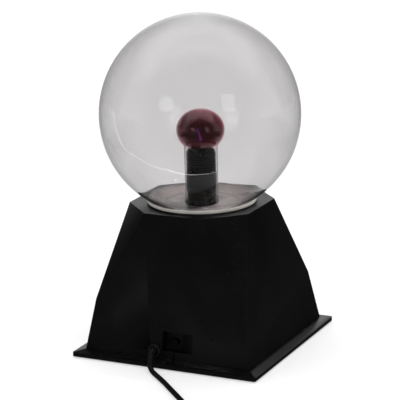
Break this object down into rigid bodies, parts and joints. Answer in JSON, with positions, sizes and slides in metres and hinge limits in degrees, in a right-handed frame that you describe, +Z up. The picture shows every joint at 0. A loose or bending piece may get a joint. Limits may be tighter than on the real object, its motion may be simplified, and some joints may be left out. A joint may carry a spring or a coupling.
{
  "type": "plasma ball",
  "caption": "Clear glass globe with an inner electrode on a dark base with slanting walls; glows when powered from a mains lead.",
  "frame": {"origin": "centre of the base's footprint, on the table under the rubber feet", "axes": "+Z up through the globe's centre, +Y out of the rear wall with the switch and the lead, +X along the rear wall"},
  "size_m": [0.2165, 0.3935, 0.3343],
  "materials": {
    "base_plastic": "satin black moulded",
    "plate_plastic": "fine matt texture",
    "foot_rubber": "soft matt",
    "screw_steel": "zinc plated",
    "collar_plastic": "warm light grey, satin",
    "nut_plastic": "matt",
    "dish_paint": "satin warm grey",
    "globe_glass": "clear, slightly smoked",
    "bulb_glass": "clear blown glass, pink rim",
    "bulb_coating": "dark purple-red conductive film",
    "glow_wire": "bright wire with a violet glow",
    "neck_plastic": "dark brown-black",
    "sleeve_plastic": "black, ribbed",
    "tape": "grey-black insulating tape",
    "hv_insulation": "red silicone insulation",
    "board_laminate": "green solder mask",
    "spacer_nylon": "natural nylon",
    "ferrite": "dark grey sintered",
    "winding_resin": "potted, black",
    "sink_aluminium": "extruded",
    "package_epoxy": "moulded epoxy",
    "capacitor_sleeve": "blue shrink sleeve",
    "fuse_glass": "clear",
    "contact_brass": "bright",
    "lamination_steel": "varnished laminations",
    "coil_tape": "yellow winding tape",
    "strap_steel": "plated strip",
    "knob_plastic": "black, grooved",
    "mic_can": "drawn can",
    "bushing_plastic": "black nylon",
    "wire_insulation": "thin insulation",
    "cord_pvc": "black flexible sheath",
    "tie_strap": "black hook-and-loop strap",
    "plug_plastic": "black moulded"
  },
  "bodies": {
    "base": {"body_shell": "base_plastic", "bottom_plate": "plate_plastic", "rubber_feet": "foot_rubber", "stem_bung": "foot_rubber", "bottom_screws": "screw_steel", "board_screws": "screw_steel", "transformer_screws": "screw_steel", "switch_screws": "screw_steel", "collar_ring": "collar_plastic", "collar_nut": "nut_plastic", "bushing_nut": "nut_plastic", "seat_dish": "dish_paint", "globe_glass": "globe_glass", "electrode_glass": "bulb_glass", "electrode_coating": "bulb_coating", "contact_wire": "glow_wire", "sleeve_neck": "neck_plastic", "ribbed_sleeve": "sleeve_plastic", "tape_band": "tape", "hv_lead": "hv_insulation", "circuit_board": "board_laminate", "board_spacers": "spacer_nylon", "flyback_core": "ferrite", "flyback_winding": "winding_resin", "heat_sink": "sink_aluminium", "power_transistor": "package_epoxy", "rectifier_diodes": "package_epoxy", "capacitors": "capacitor_sleeve", "fuse": "fuse_glass", "fuse_clips": "contact_brass", "switch_terminals": "contact_brass", "plug_blades": "contact_brass", "transformer_core": "lamination_steel", "transformer_coil": "coil_tape", "transformer_strap": "strap_steel", "switch_frame": "strap_steel", "microphone": "mic_can", "cord_bushing": "bushing_plastic", "supply_wires": "wire_insulation", "low_voltage_wires": "wire_insulation", "cord_boot": "cord_pvc", "cord_lead": "cord_pvc", "cord_coil": "cord_pvc", "cord_tail": "cord_pvc", "plug_boot": "cord_pvc", "cord_tie": "tie_strap", "plug_body": "plug_plastic"},
    "switch_slider": {"switch_knob": "knob_plastic"}
  },
  "joints": [
    {"name": "switch_slide", "type": "slide", "parent": "base", "child": "switch_slider", "axis": [1, 0, 0], "range_m": [-0.0025, 0.0025]}
  ]
}
